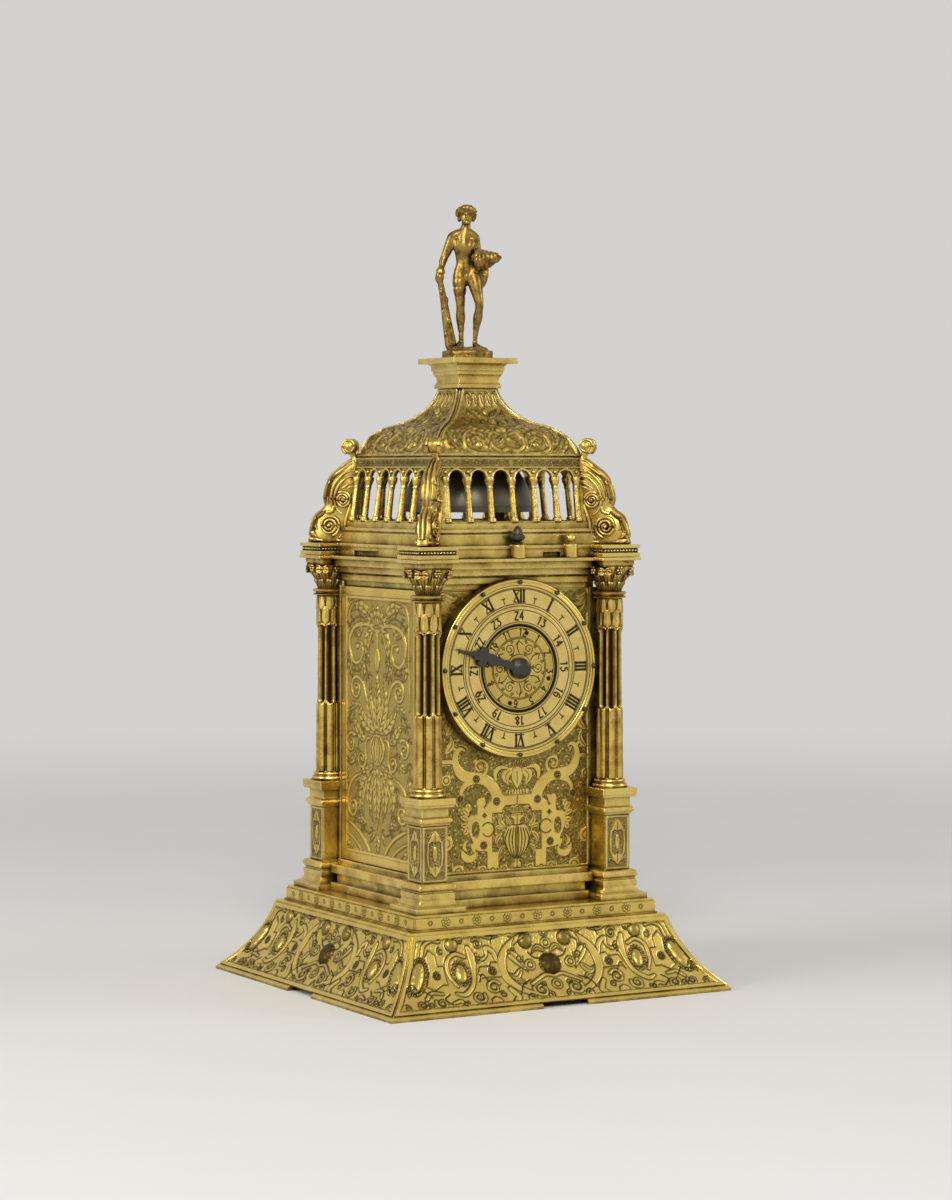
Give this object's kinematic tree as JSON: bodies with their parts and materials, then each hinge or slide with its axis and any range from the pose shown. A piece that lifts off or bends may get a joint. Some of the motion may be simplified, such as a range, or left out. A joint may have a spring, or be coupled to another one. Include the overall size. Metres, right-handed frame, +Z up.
{
  "type": "tower table clock",
  "caption": "Square gilt table clock with corner columns, round dial, hinged side doors, pierced belfry with bell, dome and standing figure on a flared foot.",
  "frame": {"origin": "centre of the foot, on the surface the clock stands on", "axes": "+Z up, the dial faces -Y, +X to the right of someone who looks at the dial"},
  "size_m": [0.151, 0.151, 0.31],
  "materials": {
    "gilt_brass": "aged fire gilding, engraved, dark in its recesses",
    "dark_gilt_brass": "worn fire gilding, brown in its hollows",
    "blackened_steel": "forged and blackened",
    "bright_steel": "filed and oiled",
    "wheel_brass": "plain filed brass",
    "bell_metal": "grey cast bell metal"
  },
  "bodies": {
    "case": {"base_skirt": "gilt_brass", "base_plate": "gilt_brass", "pedestal_front_left": "gilt_brass", "pedestal_front_right": "gilt_brass", "pedestal_back_left": "gilt_brass", "pedestal_back_right": "gilt_brass", "column_front_left": "gilt_brass", "column_front_right": "gilt_brass", "column_back_left": "gilt_brass", "column_back_right": "gilt_brass", "lower_moulding": "gilt_brass", "upper_moulding": "gilt_brass", "corner_posts": "gilt_brass", "cornice_plate": "gilt_brass", "front_panel": "gilt_brass", "back_panel": "gilt_brass", "dial": "gilt_brass", "touch_pins": "blackened_steel", "movement_base": "wheel_brass", "movement_top": "wheel_brass", "movement_posts": "bright_steel", "front_bar": "bright_steel", "middle_bar": "bright_steel", "back_bar": "bright_steel", "balance_bridge": "gilt_brass", "bell_stand": "bright_steel", "bell": "bell_metal"},
    "cover": {"cover_fascia": "gilt_brass", "belfry_base": "gilt_brass", "arcade_front": "gilt_brass", "arcade_back": "gilt_brass", "arcade_left": "gilt_brass", "arcade_right": "gilt_brass", "dome": "gilt_brass", "bracket_front_left": "gilt_brass", "bracket_front_right": "gilt_brass", "bracket_back_left": "gilt_brass", "bracket_back_right": "gilt_brass", "neck_cap": "gilt_brass", "figure": "dark_gilt_brass"},
    "hand": {"hour_hand": "blackened_steel", "hour_wheel": "wheel_brass"},
    "left_door": {"left_door": "gilt_brass"},
    "right_door": {"right_door": "gilt_brass"},
    "alarm_disc": {"alarm_disc": "gilt_brass"},
    "spring_barrel": {"spring_barrel": "wheel_brass"},
    "fusee": {"fusee": "wheel_brass"},
    "second_wheel": {"second_wheel": "wheel_brass"},
    "crown_wheel": {"crown_wheel": "wheel_brass"},
    "balance": {"balance": "bright_steel"},
    "idler_wheel": {"idler_wheel": "wheel_brass"},
    "strike_barrel": {"strike_barrel": "wheel_brass"},
    "pin_wheel": {"pin_wheel": "wheel_brass"},
    "fly": {"fly": "wheel_brass"},
    "count_wheel": {"count_wheel": "wheel_brass"},
    "hammer": {"hammer": "bright_steel"},
    "acorn_pin": {"acorn_pin": "blackened_steel"},
    "ball_pin": {"ball_pin": "gilt_brass"},
    "front_latch": {"front_latch": "dark_gilt_brass"},
    "left_latch": {"left_latch": "dark_gilt_brass"}
  },
  "joints": [
    {"name": "left_door_swing", "type": "hinge", "parent": "case", "child": "left_door", "pos_m": [-0.03925, 0.03205, 0.1], "axis": [0, 0, 1], "range_deg": [-85, 0]},
    {"name": "right_door_swing", "type": "hinge", "parent": "case", "child": "right_door", "pos_m": [0.03925, 0.03205, 0.1], "axis": [0, 0, 1], "range_deg": [0, 85]},
    {"name": "cover_lift", "type": "slide", "parent": "case", "child": "cover", "axis": [0, 0, 1], "range_m": [0, 0.06]},
    {"name": "acorn_pin_pull", "type": "slide", "parent": "cover", "child": "acorn_pin", "axis": [0, 0, 1], "range_m": [0, 0.008]},
    {"name": "ball_pin_pull", "type": "slide", "parent": "cover", "child": "ball_pin", "axis": [0, 0, 1], "range_m": [0, 0.008]},
    {"name": "front_latch_turn", "type": "hinge", "parent": "cover", "child": "front_latch", "pos_m": [0.0116, -0.0393, 0.1705], "axis": [0, 0, 1], "range_deg": [-80, 0]},
    {"name": "left_latch_turn", "type": "hinge", "parent": "cover", "child": "left_latch", "pos_m": [-0.0393, 0.0179, 0.1705], "axis": [0, 0, 1], "range_deg": [-80, 0]},
    {"name": "hand_turn", "type": "hinge", "parent": "case", "child": "hand", "pos_m": [0, 0, 0.1265], "axis": [0, 1, 0], "continuous": true},
    {"name": "alarm_disc_turn", "type": "hinge", "parent": "case", "child": "alarm_disc", "pos_m": [0, 0, 0.1265], "axis": [0, 1, 0], "continuous": true},
    {"name": "fusee_turn", "type": "hinge", "parent": "case", "child": "fusee", "pos_m": [-0.014, 0, 0.074], "axis": [0, 1, 0], "continuous": true},
    {"name": "spring_barrel_turn", "type": "hinge", "parent": "case", "child": "spring_barrel", "pos_m": [0.014, 0, 0.074], "axis": [0, 1, 0], "continuous": true},
    {"name": "idler_turn", "type": "hinge", "parent": "case", "child": "idler_wheel", "pos_m": [-0.00423, 0, 0.08803], "axis": [0, 1, 0], "continuous": true},
    {"name": "second_wheel_turn", "type": "hinge", "parent": "case", "child": "second_wheel", "pos_m": [0, 0, 0.08965], "axis": [0, 1, 0], "continuous": true},
    {"name": "crown_wheel_turn", "type": "hinge", "parent": "case", "child": "crown_wheel", "pos_m": [0, 0, 0.10855], "axis": [0, 1, 0], "continuous": true},
    {"name": "balance_swing", "type": "hinge", "parent": "case", "child": "balance", "pos_m": [0, -0.0085, 0.157], "axis": [0, 0, 1], "range_deg": [-100, 100]},
    {"name": "strike_barrel_turn", "type": "hinge", "parent": "case", "child": "strike_barrel", "pos_m": [0.012, 0, 0.074], "axis": [0, 1, 0], "continuous": true},
    {"name": "pin_wheel_turn", "type": "hinge", "parent": "case", "child": "pin_wheel", "pos_m": [0, 0, 0.09123], "axis": [0, 1, 0], "continuous": true},
    {"name": "fly_turn", "type": "hinge", "parent": "case", "child": "fly", "pos_m": [0, 0, 0.11013], "axis": [0, 1, 0], "continuous": true},
    {"name": "count_wheel_turn", "type": "hinge", "parent": "case", "child": "count_wheel", "pos_m": [0.005, 0, 0.09821], "axis": [0, 1, 0], "continuous": true},
    {"name": "hammer_lift", "type": "hinge", "parent": "case", "child": "hammer", "pos_m": [-0.02, 0.008, 0.1562], "axis": [0, 1, 0], "range_deg": [0, 12], "stiffness_Nm_per_rad": 0.003, "springref_deg": -17.19}
  ],
  "couplings": [
    {"joint": "second_wheel_turn", "follows": "fusee_turn", "ratio": -4},
    {"joint": "crown_wheel_turn", "follows": "fusee_turn", "ratio": 14},
    {"joint": "spring_barrel_turn", "follows": "fusee_turn", "ratio": 0.65},
    {"joint": "idler_turn", "follows": "fusee_turn", "ratio": -0.46154},
    {"joint": "hand_turn", "follows": "fusee_turn", "ratio": 0.2},
    {"joint": "pin_wheel_turn", "follows": "strike_barrel_turn", "ratio": -4},
    {"joint": "fly_turn", "follows": "strike_barrel_turn", "ratio": 14},
    {"joint": "count_wheel_turn", "follows": "strike_barrel_turn", "ratio": -0.2}
  ]
}
